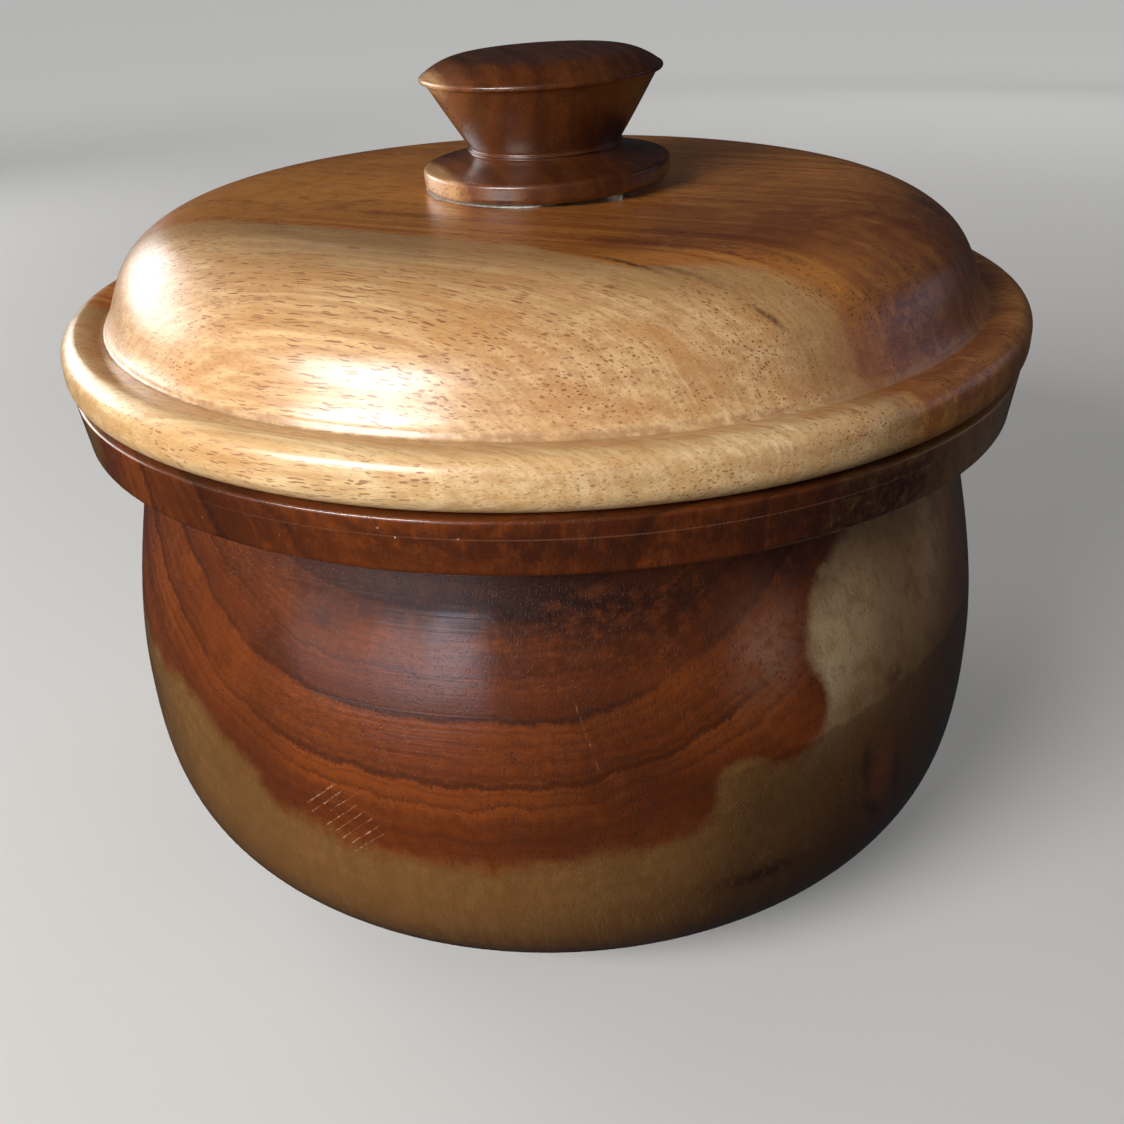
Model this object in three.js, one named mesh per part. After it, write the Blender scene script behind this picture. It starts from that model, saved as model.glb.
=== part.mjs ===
// Lidded turned wood bowl for go stones: a round belly with a collared rim, a domed lid that
// drops into the mouth on a spigot, and a turned knob glued and dowelled to the lid's top.
// Millimetres, +Z up. The origin is the centre of the foot, on the surface the bowl stands on.

import * as THREE from 'three';

// ---- driving dimensions ----
const BELLY_RADIUS = 72.5;
const BELLY_HEIGHT = 36;
const FOOT_RADIUS = 46;
const NECK_RADIUS = 66.8;
const NECK_HEIGHT = 71.5;
const COLLAR_RADIUS = 74.6;
const COLLAR_UNDERSIDE = 77.3;
const RIM_HEIGHT = 85;
const MOUTH_RADIUS = 61;
const INNER_BELLY_RADIUS = 66.3;
const FLOOR_THICKNESS = 9;

const SEAT_GAP = 0.3;
const LID_SEAT = RIM_HEIGHT + SEAT_GAP;
const SPIGOT_RADIUS = 59.8;
const SPIGOT_WALL = 6;
const SPIGOT_DEPTH = 4.3;
const FLANGE_RADIUS = 75.4;
const FLANGE_THICKNESS = 7.4;
const DOME_FOOT_RADIUS = 68.7;
const DOME_FOOT_HEIGHT = 93.2;
const LID_TOP = 107.8;
const LID_CEILING = 97.8;

const GLUE_GAP = 0.25;
const GLUE_THICKNESS = 0.3;
const GLUE_RADIUS = 19.3;
const KNOB_SEAT = LID_TOP + 2 * GLUE_GAP + GLUE_THICKNESS;
const KNOB_FOOT_RADIUS = 19.7;
const KNOB_FOOT_HEIGHT = 3;
const KNOB_WAIST_RADIUS = 12.2;
const KNOB_WAIST_HEIGHT = 5.4;
const KNOB_RIDGE_RADIUS = 18.6;
const KNOB_RIDGE_HEIGHT = 15.2;
const KNOB_TOP_RADIUS = 13.5;
const KNOB_TOP_HEIGHT = 18;
const KNOB_CROWN = 1.1;

const DOWEL_RADIUS = 3.75;
const DOWEL_CLEARANCE = 0.25;
const DOWEL_IN_LID = 6.5;
const DOWEL_IN_KNOB = 9;
const DOWEL_CHAMFER = 0.8;

// facets round each turned piece, and steps along each curve of its outline
const BODY_FACETS = 56;
const KNOB_FACETS = 40;
const DOWEL_FACETS = 20;
const BODY_STEPS = 5;
const KNOB_STEPS = 3;
const GLUE_STEPS = 2;

// a turned piece: its outline, as radius and height, revolved about the Z axis
function turned(outline, facets, steps) {
  const geometry = new THREE.LatheGeometry(outline.getPoints(steps), facets);
  geometry.rotateX(Math.PI / 2);
  return geometry;
}

function bowlOutline() {
  const lip = 0.8;
  const outline = new THREE.Path();
  outline.moveTo(0, 0);
  outline.lineTo(FOOT_RADIUS, 0);
  // rounded lower wall, full close to the foot, then the long taper up to the neck
  outline.bezierCurveTo(68, 7, BELLY_RADIUS + 0.5, 14, BELLY_RADIUS, BELLY_HEIGHT);
  outline.bezierCurveTo(BELLY_RADIUS, 48, 69.4, 59.5, NECK_RADIUS, NECK_HEIGHT);
  // cove under the collar, and the collar's nearly upright face
  outline.quadraticCurveTo(NECK_RADIUS - 0.2, COLLAR_UNDERSIDE - 0.3, 72.8, COLLAR_UNDERSIDE);
  outline.lineTo(COLLAR_RADIUS - 0.7, COLLAR_UNDERSIDE + lip);
  outline.lineTo(COLLAR_RADIUS, RIM_HEIGHT - lip);
  outline.lineTo(COLLAR_RADIUS - lip, RIM_HEIGHT);
  outline.lineTo(MOUTH_RADIUS + lip, RIM_HEIGHT);
  outline.lineTo(MOUTH_RADIUS, RIM_HEIGHT - lip);
  // hollow: straight mouth, undercut belly, dished floor
  outline.lineTo(MOUTH_RADIUS, 75);
  outline.bezierCurveTo(63, 68, INNER_BELLY_RADIUS, 52, INNER_BELLY_RADIUS, 40);
  outline.bezierCurveTo(INNER_BELLY_RADIUS, 20, 58, FLOOR_THICKNESS + 0.5, 38, FLOOR_THICKNESS);
  outline.lineTo(0, FLOOR_THICKNESS);
  return outline;
}

function lidOutline() {
  const spigotBottom = LID_SEAT - SPIGOT_DEPTH;
  const spigotInner = SPIGOT_RADIUS - SPIGOT_WALL;
  const edge = 0.8;
  const flangeRound = 4.2;
  const flangeCentre = FLANGE_RADIUS - flangeRound;
  const flangeHalf = FLANGE_THICKNESS / 2;
  const outline = new THREE.Path();
  // hollowed underside, then the spigot that drops into the mouth
  outline.moveTo(0, LID_CEILING);
  outline.bezierCurveTo(30, LID_CEILING, 51, 96, spigotInner - 0.6, 86);
  outline.lineTo(spigotInner, spigotBottom + edge);
  outline.lineTo(spigotInner + edge, spigotBottom);
  outline.lineTo(SPIGOT_RADIUS - edge, spigotBottom);
  outline.lineTo(SPIGOT_RADIUS, spigotBottom + edge);
  outline.lineTo(SPIGOT_RADIUS, LID_SEAT);
  // seat on the rim, and the flange's round edge
  outline.lineTo(flangeCentre, LID_SEAT);
  outline.absellipse(
    flangeCentre, LID_SEAT + flangeHalf, flangeRound, flangeHalf, -Math.PI / 2, 0.44 * Math.PI);
  // fine crease between the flange and the dome, then the dome's side, shoulder and flat top
  outline.lineTo(DOME_FOOT_RADIUS + 0.8, DOME_FOOT_HEIGHT - 0.9);
  outline.lineTo(DOME_FOOT_RADIUS, DOME_FOOT_HEIGHT);
  outline.bezierCurveTo(67, 95, 66.6, 99.4, 63.4, 102.4);
  outline.bezierCurveTo(59.6, 105.9, 54, LID_TOP, 46, LID_TOP);
  // blind hole for the dowel
  outline.lineTo(DOWEL_RADIUS + DOWEL_CLEARANCE, LID_TOP);
  outline.lineTo(DOWEL_RADIUS + DOWEL_CLEARANCE, LID_TOP - DOWEL_IN_LID);
  outline.lineTo(0, LID_TOP - DOWEL_IN_LID);
  return outline;
}

// heights in the knob's own frame, from the underside of its foot
function knobOutline() {
  const footRound = KNOB_FOOT_HEIGHT / 2;
  const footEdge = 0.7;
  const ridgeRound = 0.8;
  const holeRadius = DOWEL_RADIUS + DOWEL_CLEARANCE;
  const outline = new THREE.Path();
  outline.moveTo(0, DOWEL_IN_KNOB);
  outline.lineTo(holeRadius, DOWEL_IN_KNOB);
  outline.lineTo(holeRadius, 0);
  outline.lineTo(KNOB_FOOT_RADIUS - footEdge, 0);
  outline.absellipse(
    KNOB_FOOT_RADIUS - footEdge, footRound, footEdge, footRound, -Math.PI / 2, Math.PI / 2);
  // flare down from the waist, the waist's bead, and the inverted cone the fingers hold
  outline.lineTo(KNOB_FOOT_RADIUS - 1.6, KNOB_FOOT_HEIGHT + 0.2);
  outline.quadraticCurveTo(14, 3.9, KNOB_WAIST_RADIUS, KNOB_WAIST_HEIGHT);
  outline.lineTo(KNOB_WAIST_RADIUS + 0.3, KNOB_WAIST_HEIGHT + 0.8);
  outline.lineTo(KNOB_RIDGE_RADIUS - 0.7, KNOB_RIDGE_HEIGHT - 0.7);
  outline.absarc(
    KNOB_RIDGE_RADIUS - ridgeRound, KNOB_RIDGE_HEIGHT, ridgeRound, -Math.PI / 6, Math.PI / 3);
  // chamfer to the top, which is slightly crowned
  outline.lineTo(KNOB_TOP_RADIUS, KNOB_TOP_HEIGHT);
  outline.quadraticCurveTo(
    KNOB_TOP_RADIUS / 2, KNOB_TOP_HEIGHT + KNOB_CROWN, 0, KNOB_TOP_HEIGHT + KNOB_CROWN);
  return outline;
}

function dowelOutline() {
  const bottom = LID_TOP - DOWEL_IN_LID + DOWEL_CLEARANCE;
  const top = KNOB_SEAT + DOWEL_IN_KNOB - DOWEL_CLEARANCE;
  const outline = new THREE.Path();
  outline.moveTo(0, bottom);
  outline.lineTo(DOWEL_RADIUS - DOWEL_CHAMFER, bottom);
  outline.lineTo(DOWEL_RADIUS, bottom + DOWEL_CHAMFER);
  outline.lineTo(DOWEL_RADIUS, top - DOWEL_CHAMFER);
  outline.lineTo(DOWEL_RADIUS - DOWEL_CHAMFER, top);
  outline.lineTo(0, top);
  return outline;
}

// flat ring of glue squeezed out between the knob's foot and the lid
function glueOutline() {
  const innerRadius = DOWEL_RADIUS + 1.2;
  const bottom = LID_TOP + GLUE_GAP;
  const half = GLUE_THICKNESS / 2;
  const outline = new THREE.Path();
  outline.moveTo(innerRadius, bottom);
  outline.lineTo(GLUE_RADIUS - half, bottom);
  outline.absarc(GLUE_RADIUS - half, bottom + half, half, -Math.PI / 2, Math.PI / 2);
  outline.lineTo(innerRadius, bottom + GLUE_THICKNESS);
  outline.lineTo(innerRadius, bottom);
  return outline;
}

function wood(colour) {
  return new THREE.MeshStandardMaterial({ color: colour, roughness: 0.35, metalness: 0 });
}

function piece(name, geometry, material, height = 0) {
  const mesh = new THREE.Mesh(geometry, material);
  mesh.name = name;
  mesh.position.z = height;
  return mesh;
}

const glueMaterial = new THREE.MeshStandardMaterial({
  color: 0xb9ada0,
  roughness: 0.5,
  metalness: 0,
});

const bowlWithLid = new THREE.Group();
bowlWithLid.add(
  piece('bowl', turned(bowlOutline(), BODY_FACETS, BODY_STEPS), wood(0x6e3620)),
  piece('lid', turned(lidOutline(), BODY_FACETS, BODY_STEPS), wood(0xb07a4c)),
  piece('knob', turned(knobOutline(), KNOB_FACETS, KNOB_STEPS), wood(0x4a2414), KNOB_SEAT),
  piece('knob_dowel', turned(dowelOutline(), DOWEL_FACETS, KNOB_STEPS), wood(0xc8a878)),
  piece('glue_line', turned(glueOutline(), KNOB_FACETS, GLUE_STEPS), glueMaterial),
);

export default bowlWithLid;
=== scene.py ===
import math

import bpy
from mathutils import Matrix, Vector, noise


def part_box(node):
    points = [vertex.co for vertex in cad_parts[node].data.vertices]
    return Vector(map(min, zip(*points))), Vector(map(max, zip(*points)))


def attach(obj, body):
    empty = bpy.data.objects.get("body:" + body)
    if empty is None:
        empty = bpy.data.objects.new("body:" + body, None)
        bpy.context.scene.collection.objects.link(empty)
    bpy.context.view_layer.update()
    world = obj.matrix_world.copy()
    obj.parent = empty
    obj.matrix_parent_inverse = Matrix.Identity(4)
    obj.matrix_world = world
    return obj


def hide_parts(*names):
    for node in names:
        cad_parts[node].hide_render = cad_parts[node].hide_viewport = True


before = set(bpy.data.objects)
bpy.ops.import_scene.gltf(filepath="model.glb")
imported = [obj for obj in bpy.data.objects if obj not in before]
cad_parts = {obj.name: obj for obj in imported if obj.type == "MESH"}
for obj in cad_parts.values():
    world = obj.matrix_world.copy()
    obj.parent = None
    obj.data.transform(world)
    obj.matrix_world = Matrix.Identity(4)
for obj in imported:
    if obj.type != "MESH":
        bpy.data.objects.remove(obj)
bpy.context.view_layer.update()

MM = 0.001

# ---------------------------------------------------------------- measures from the frame
BOWL_LOW, BOWL_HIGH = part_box("bowl")
LID_LOW, LID_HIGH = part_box("lid")
KNOB_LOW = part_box("knob")[0]

FOOT_Z = BOWL_LOW.z / MM
RIM_Z = BOWL_HIGH.z / MM
LID_Z = LID_LOW.z / MM
LID_TOP_Z = LID_HIGH.z / MM
KNOB_Z = KNOB_LOW.z / MM

ROUND_STEPS = 256
KNOB_STEPS = 160
GLUE_STEPS = 240
SHARP_ANGLE = math.radians(32)
GLUE_SHARP_ANGLE = math.radians(60)


# ---------------------------------------------------------------- outlines and meshes
class Outline:
    """A turned profile: (radius, height) points in millimetres, from curves and lines."""

    def __init__(self, radius, height):
        self.points = [(radius, height)]

    def line(self, radius, height, steps=1):
        r0, z0 = self.points[-1]
        for i in range(1, steps + 1):
            f = i / steps
            self.points.append((r0 + (radius - r0) * f, z0 + (height - z0) * f))
        return self

    def quad(self, control, end, steps):
        r0, z0 = self.points[-1]
        for i in range(1, steps + 1):
            f = i / steps
            g = 1 - f
            self.points.append((
                g * g * r0 + 2 * g * f * control[0] + f * f * end[0],
                g * g * z0 + 2 * g * f * control[1] + f * f * end[1],
            ))
        return self

    def bezier(self, first, second, end, steps):
        r0, z0 = self.points[-1]
        for i in range(1, steps + 1):
            f = i / steps
            g = 1 - f
            weights = (g ** 3, 3 * g * g * f, 3 * g * f * f, f ** 3)
            self.points.append((
                weights[0] * r0 + weights[1] * first[0] + weights[2] * second[0] + weights[3] * end[0],
                weights[0] * z0 + weights[1] * first[1] + weights[2] * second[1] + weights[3] * end[1],
            ))
        return self

    def arc(self, centre, radii, start, end, steps):
        """Part of an ellipse, from one angle to another in degrees, both ends included."""
        for i in range(steps + 1):
            a = math.radians(start + (end - start) * i / steps)
            point = (centre[0] + radii[0] * math.cos(a), centre[1] + radii[1] * math.sin(a))
            if math.dist(point, self.points[-1]) > 1e-4:
                self.points.append(point)
        return self


def turn(name, outline, steps, place=Matrix.Identity(4)):
    """Turns an outline round the Z axis into a closed mesh object."""
    vertices = []
    rings = []
    for radius, height in outline.points:
        if radius < 1e-6:
            rings.append([len(vertices)])
            vertices.append(place @ Vector((0, 0, height * MM)))
            continue
        start = len(vertices)
        for i in range(steps):
            a = 2 * math.pi * i / steps
            x = radius * MM * math.cos(a)
            y = radius * MM * math.sin(a)
            vertices.append(place @ Vector((x, y, height * MM)))
        rings.append(list(range(start, start + steps)))
    faces = []
    for low, high in zip(rings, rings[1:]):
        for i in range(steps):
            j = (i + 1) % steps
            if len(low) == 1 and len(high) == 1:
                continue
            if len(low) == 1:
                faces.append((low[0], high[j], high[i]))
            elif len(high) == 1:
                faces.append((low[i], low[j], high[0]))
            else:
                faces.append((low[i], low[j], high[j], high[i]))
    return mesh_object(name, vertices, faces)


def mesh_object(name, vertices, faces, sharp=SHARP_ANGLE):
    mesh = bpy.data.meshes.new(name)
    mesh.from_pydata([tuple(v) for v in vertices], [], faces)
    mesh.validate()
    mesh.shade_smooth()
    mesh.set_sharp_from_angle(angle=sharp)
    piece = bpy.data.objects.new(name, mesh)
    bpy.context.scene.collection.objects.link(piece)
    return piece


def bowl_outline():
    z = FOOT_Z
    rim = RIM_Z
    o = Outline(0, z + 1.1)
    # a flat foot, with the lathe centre's dimple and two fine turned grooves
    o.line(0.9, z + 1.0).quad((2.6, z + 0.5), (3.2, z), 5)
    for groove in (13.0, 33.0):
        o.line(groove - 0.5, z, 6).quad((groove, z + 0.7), (groove + 0.5, z), 6)
    o.line(45.2, z, 6).quad((46.2, z), (47.4, z + 0.2), 4)
    o.bezier((68, z + 7), (72.9, z + 14), (72.5, z + 36), 56)
    o.bezier((72.5, z + 47), (69.8, z + 58.0), (67.1, rim - 16.0), 34)
    # the neck turns out under the collar
    o.line(65.9, rim - 12.0, 6).bezier((65.6, rim - 11.0), (65.2, rim - 8.2), (68.8, rim - 8.0), 16)
    o.line(72.6, rim - 7.85, 4)
    o.quad((73.5, rim - 7.75), (73.75, rim - 7.1), 6)
    # collar face
    o.line(74.55, rim - 0.5, 14).quad((74.6, rim - 0.12), (74.25, rim - 0.04), 4)
    o.line(73.9, rim).line(62.0, rim, 8).quad((61.2, rim), (61, rim - 0.8), 4)
    o.line(61, rim - 10, 8)
    o.bezier((63, z + 68), (66.3, z + 52), (66.3, z + 40), 30)
    o.bezier((66.3, z + 20), (58, z + 9.5), (38, z + 9), 44)
    o.line(0, z + 9, 26)
    return o


def lid_outline():
    z = LID_Z
    top = LID_TOP_Z
    ceiling = top - 10
    seat = z + 4.3
    o = Outline(0, ceiling)
    o.bezier((30, ceiling), (51, ceiling - 1.8), (53.2, z + 5), 40)
    o.line(53.8, z + 0.8, 4).quad((53.9, z), (54.7, z), 3).line(58.9, z, 3)
    o.quad((59.8, z), (59.8, z + 0.9), 3).line(59.8, seat, 4).line(70.4, seat, 8)
    # flange: rounded under, a full side, a soft upper corner, then a nearly level ledge
    o.arc((72.25, seat + 3.1), (3.1, 3.1), -90, 0, 14)
    o.arc((72.55, seat + 4.75), (2.8, 2.85), 4, 84, 14)
    o.quad((71.2, seat + 7.62), (69.9, seat + 7.2), 6)
    # the crease at the foot of the dome
    o.quad((69.3, seat + 6.95), (68.95, seat + 7.0), 3).quad((68.75, seat + 7.1), (68.6, seat + 7.7), 3)
    o.bezier((67.0, z + 14.0), (66.6, z + 18.4), (63.4, z + 21.4), 26)
    o.bezier((59.6, z + 24.9), (54, top), (46, top), 26)
    o.line(19.8, top, 20).line(4, top, 10)
    o.line(4, top - 6.5, 3).line(0, top - 6.5, 2)
    return o


def knob_outline():
    o = Outline(0, 9)
    # the dowel's hole is loose enough for the knob's lean
    o.line(4.9, 9, 2).line(4.9, 0, 4).line(18.0, 0, 8)
    # foot: an upright band with a soft lower edge and a crisper upper one
    o.arc((18.2, 1.1), (0.95, 1.1), -90, 0, 9).line(19.2, 2.1, 3)
    o.arc((18.55, 2.35), (0.65, 0.75), 0, 68, 8)
    o.quad((14.2, 3.65), (11.95, 4.95), 16)
    # a thin crisp bead round the waist
    o.quad((11.75, 5.1), (11.85, 5.2), 3).arc((11.75, 5.42), (0.34, 0.24), -60, 70, 7)
    o.quad((11.75, 5.75), (11.95, 6.1), 3)
    o.bezier((13.8, 8.9), (15.8, 12.3), (17.6, 15.3), 22)
    # a narrow ridge, a rounded chamfer, then the nearly flat top
    o.arc((17.8, 15.85), (0.68, 0.56), -40, 66, 9)
    o.bezier((17.0, 17.15), (15.6, 17.95), (13.9, 18.38), 14)
    o.bezier((13.4, 18.5), (12.9, 18.6), (12.3, 18.6), 5).quad((11.9, 18.6), (11.6, 18.57), 3)
    o.bezier((9.0, 18.74), (4.5, 18.88), (0, 18.88), 20)
    return o


# the knob was glued a little off centre, and leans left and forward
KNOB_LEAN = Matrix.Rotation(-0.032, 4, "Y") @ Matrix.Rotation(0.020, 4, "X")
KNOB_PLACE = Matrix.Translation((0.9 * MM, 0, KNOB_Z * MM)) @ KNOB_LEAN


# where the glue was squeezed out, and a fleck of it on the other side, in radians round Z
GLUE_SIDE = math.radians(-155)
GLUE_FLECK = math.radians(-52)
FLECK_WIDTH = math.radians(5)
# radii in mm: just past the flat of the knob's underside, the glue's inner edge, and its outer
# edge where it is set back
KNOB_FLAT = 18.6
GLUE_INNER = 4.95
GLUE_SET_BACK = 15.3


def glue_bead(name):
    """Dried glue under the knob: thick and squeezed out at one side, set back at the other."""
    profile_steps = 9
    vertices = []
    floor = LID_TOP_Z + 0.02
    for i in range(GLUE_STEPS):
        a = 2 * math.pi * i / GLUE_STEPS
        facing = math.cos(a - GLUE_SIDE)
        out = min(1.0, max(0.0, (facing - 0.2) / 0.5))
        out = out * out * (3 - 2 * out)
        from_fleck = math.remainder(a - GLUE_FLECK, 2 * math.pi)
        fleck = math.exp(-(from_fleck / FLECK_WIDTH) ** 2)
        coarse = noise.noise(Vector((math.cos(a) * 3.1, math.sin(a) * 3.1, 1.7)))
        fine = noise.noise(Vector((math.cos(a) * 11.0, math.sin(a) * 11.0, 5.2)))
        reach = GLUE_SET_BACK + 3.75 * out + 2.9 * fleck * (0.95 + 0.5 * fine) + 0.35 * coarse + 0.22 * fine
        underside = KNOB_PLACE @ Vector((KNOB_FLAT * MM * math.cos(a), KNOB_FLAT * MM * math.sin(a), 0))
        height = max(underside.z / MM - 0.03, floor + 0.04)
        squeeze = max(0.0, reach - KNOB_FLAT)
        lip = floor + 0.25 + 0.5 * squeeze + 0.08 * fine
        top = min(height, lip) if reach > KNOB_FLAT else height
        ring = [(GLUE_INNER, floor), (reach + 0.15, floor)]
        for k in range(profile_steps):
            b = math.pi / 2 * k / (profile_steps - 1)
            swell = 0.28 * math.sin(2 * b) * (0.4 + squeeze)
            ring.append((reach - 0.7 * (1 - math.cos(b)) + swell, floor + (top - floor) * math.sin(b)))
        ring.append((15.5, height))
        ring.append((GLUE_INNER, height))
        for radius, z in ring:
            x = KNOB_PLACE.translation.x + radius * MM * math.cos(a)
            vertices.append((x, radius * MM * math.sin(a), z * MM))
    count = len(vertices) // GLUE_STEPS
    faces = []
    for i in range(GLUE_STEPS):
        j = (i + 1) % GLUE_STEPS
        for k in range(count):
            m = (k + 1) % count
            faces.append((i * count + k, j * count + k, j * count + m, i * count + m))
    return mesh_object(name, vertices, faces, GLUE_SHARP_ANGLE)


# ---------------------------------------------------------------- node helpers
class Shader:
    """A node material, with short calls for the nodes that the woods use."""

    def __init__(self, name):
        self.material = bpy.data.materials.new(name)
        self.material.use_nodes = True
        self.tree = self.material.node_tree
        self.tree.nodes.clear()

    def node(self, kind, **settings):
        made = self.tree.nodes.new(kind)
        for key, value in settings.items():
            setattr(made, key, value)
        return made

    def put(self, socket, value):
        if isinstance(value, bpy.types.NodeSocket):
            self.tree.links.new(value, socket)
        elif value is not None:
            if socket.type == "RGBA" and len(value) == 3:
                value = (*value, 1)
            socket.default_value = value

    def coordinates(self):
        """Object coordinates in metres, and the same in millimetres."""
        where = self.node("ShaderNodeTexCoord").outputs["Object"]
        scaled = self.node("ShaderNodeVectorMath", operation="SCALE")
        self.put(scaled.inputs[0], where)
        scaled.inputs["Scale"].default_value = 1 / MM
        return where, scaled.outputs["Vector"]

    def math(self, operation, *values):
        made = self.node("ShaderNodeMath", operation=operation)
        for socket, value in zip(made.inputs, values):
            self.put(socket, value)
        return made.outputs[0]

    def add(self, *values):
        total = values[0]
        for value in values[1:]:
            total = self.math("ADD", total, value)
        return total

    def times(self, *values):
        total = values[0]
        for value in values[1:]:
            total = self.math("MULTIPLY", total, value)
        return total

    def vector(self, operation, *values):
        made = self.node("ShaderNodeVectorMath", operation=operation)
        for socket, value in zip(made.inputs, values):
            self.put(socket, value)
        scalar = operation in ("DOT_PRODUCT", "LENGTH", "DISTANCE")
        return made.outputs["Value" if scalar else "Vector"]

    def stretch(self, where, x, y, z):
        return self.vector("MULTIPLY", where, (x, y, z))

    def frame(self, where, origin, axis):
        """Coordinates in millimetres, in a frame at origin (mm) whose Z runs along axis."""
        turn_to = Vector(axis).normalized().to_track_quat("Z", "Y").to_euler("XYZ")
        made = self.node("ShaderNodeMapping", vector_type="TEXTURE")
        self.put(made.inputs["Vector"], where)
        made.inputs["Location"].default_value = Vector(origin) * MM
        made.inputs["Rotation"].default_value = turn_to
        made.inputs["Scale"].default_value = (MM, MM, MM)
        return made.outputs["Vector"]

    def split(self, where):
        made = self.node("ShaderNodeSeparateXYZ")
        self.put(made.inputs[0], where)
        return made.outputs

    def noise(self, where, scale=1.0, detail=2.0, roughness=0.5):
        """Noise from 0 to 1, centred on one half."""
        made = self.node("ShaderNodeTexNoise", noise_dimensions="3D")
        self.put(made.inputs["Vector"], where)
        made.inputs["Scale"].default_value = scale
        made.inputs["Detail"].default_value = detail
        made.inputs["Roughness"].default_value = roughness
        return made.outputs["Fac"]

    def line_noise(self, value, scale=1.0, detail=1.0):
        made = self.node("ShaderNodeTexNoise", noise_dimensions="1D")
        self.put(made.inputs["W"], value)
        made.inputs["Scale"].default_value = scale
        made.inputs["Detail"].default_value = detail
        return made.outputs["Fac"]

    def cells(self, where, scale=1.0):
        """Voronoi: (distance to the nearest point, that cell's random value)."""
        made = self.node("ShaderNodeTexVoronoi", feature="F1")
        self.put(made.inputs["Vector"], where)
        made.inputs["Scale"].default_value = scale
        return made.outputs["Distance"], self.split(made.outputs["Color"])[0]

    def span(self, value, low, high, to_low=0.0, to_high=1.0, smooth=True):
        kind = "SMOOTHSTEP" if smooth else "LINEAR"
        made = self.node("ShaderNodeMapRange", interpolation_type=kind, clamp=True)
        for key, number in (("Value", value), ("From Min", low), ("From Max", high),
                            ("To Min", to_low), ("To Max", to_high)):
            self.put(made.inputs[key], number)
        return made.outputs[0]

    def swing(self, value, size):
        """A 0 to 1 noise turned into one that swings by plus and minus size."""
        return self.math("MULTIPLY_ADD", value, 2 * size, -size)

    def mix(self, factor, first, second, blend="MIX"):
        made = self.node("ShaderNodeMix", data_type="RGBA", blend_type=blend)
        self.put(made.inputs["Factor"], factor)
        self.put(made.inputs[6], first)
        self.put(made.inputs[7], second)
        return made.outputs[2]

    def peaks(self, value, low, high, lines):
        """Dark lines over value, each shaded on its inner side and crisp on its outer side.

        Lines are (place, half width, strength). A colour ramp holds seven lines.
        """
        along = self.span(value, low, high, smooth=False)
        total = None
        for first in range(0, len(lines), 7):
            stops = [(low, 0.0), (high, 0.0)]
            for place, width, strength in lines[first:first + 7]:
                stops += [(place - 3.0 * width, 0.0), (place - 0.8 * width, 0.38 * strength)]
                stops += [(place, strength), (place + 0.5 * width, 0.0)]
            made = self.node("ShaderNodeValToRGB")
            ramp = made.color_ramp
            ramp.interpolation = "LINEAR"
            while len(ramp.elements) < len(stops):
                ramp.elements.new(0.5)
            for element, (place, strength) in zip(ramp.elements, sorted(stops)):
                element.position = (place - low) / (high - low)
                element.color = (strength, strength, strength, 1)
            self.put(made.inputs[0], along)
            total = made.outputs[0] if total is None else self.math("MAXIMUM", total, made.outputs[0])
        return total

    def blob(self, where, centre, radii, strength=1.0):
        """A soft spot: strength at centre, falling away over radii."""
        away = self.vector("SUBTRACT", where, centre)
        scaled = self.vector("DIVIDE", away, radii)
        square = self.vector("DOT_PRODUCT", scaled, scaled)
        return self.times(self.math("POWER", math.e, self.times(square, -1.0)), strength)

    def streak_blob(self, where, centre, axis, radii, strength=1.0):
        """A soft spot drawn out along an axis: radii are (sideways, up, along) in mm."""
        return self.blob(self.frame(where, centre, axis), (0, 0, 0), radii, strength)

    def bump(self, height, distance, strength=1.0, normal=None):
        made = self.node("ShaderNodeBump")
        made.inputs["Distance"].default_value = distance
        made.inputs["Strength"].default_value = strength
        self.put(made.inputs["Height"], height)
        self.put(made.inputs["Normal"], normal)
        return made.outputs[0]

    def surface(self, colour, roughness, normal, coat_normal=None, **settings):
        """The finished material. Settings are named after the shader's sockets."""
        shader = self.node("ShaderNodeBsdfPrincipled")
        self.put(shader.inputs["Base Color"], colour)
        self.put(shader.inputs["Roughness"], roughness)
        self.put(shader.inputs["Normal"], normal)
        self.put(shader.inputs["Coat Normal"], coat_normal)
        for key, value in settings.items():
            self.put(shader.inputs[key.replace("_", " ")], value)
        out = self.node("ShaderNodeOutputMaterial")
        self.tree.links.new(shader.outputs[0], out.inputs["Surface"])
        return self.material


# ---------------------------------------------------------------- wood
LACQUER = dict(Coat_Weight=1.0, Coat_Roughness=0.17, Coat_IOR=1.5, Specular_IOR_Level=0.35)


def pore_field(s, grain, pores):
    """Pores: thin cells drawn out along the fibre, as (width, length) in mm, and finer flecks."""
    width, length = pores
    wobble = s.swing(s.noise(grain, 0.6, 1.0), 0.25)
    cell_place = s.stretch(s.vector("ADD", grain, wobble), 1 / width, 1 / width, 1 / length)
    near, chance = s.cells(cell_place)
    size = s.span(chance, 0.2, 1.0, 0.14, 0.42, smooth=False)
    crowd = s.span(s.noise(s.stretch(grain, 1, 1, 0.25), 0.16, 2.0), 0.36, 0.62, 0.35, 1.0)
    pore = s.times(s.span(s.math("SUBTRACT", size, near), -0.05, 0.07), s.span(chance, 0.15, 0.3), crowd)
    near_fleck, fleck_chance = s.cells(s.stretch(grain, 1.9 / width, 1.9 / width, 2.6 / length))
    fleck = s.times(s.span(near_fleck, 0.36, 0.16), s.span(fleck_chance, 0.3, 0.6), 0.6)
    return s.math("MAXIMUM", pore, fleck)


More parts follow.
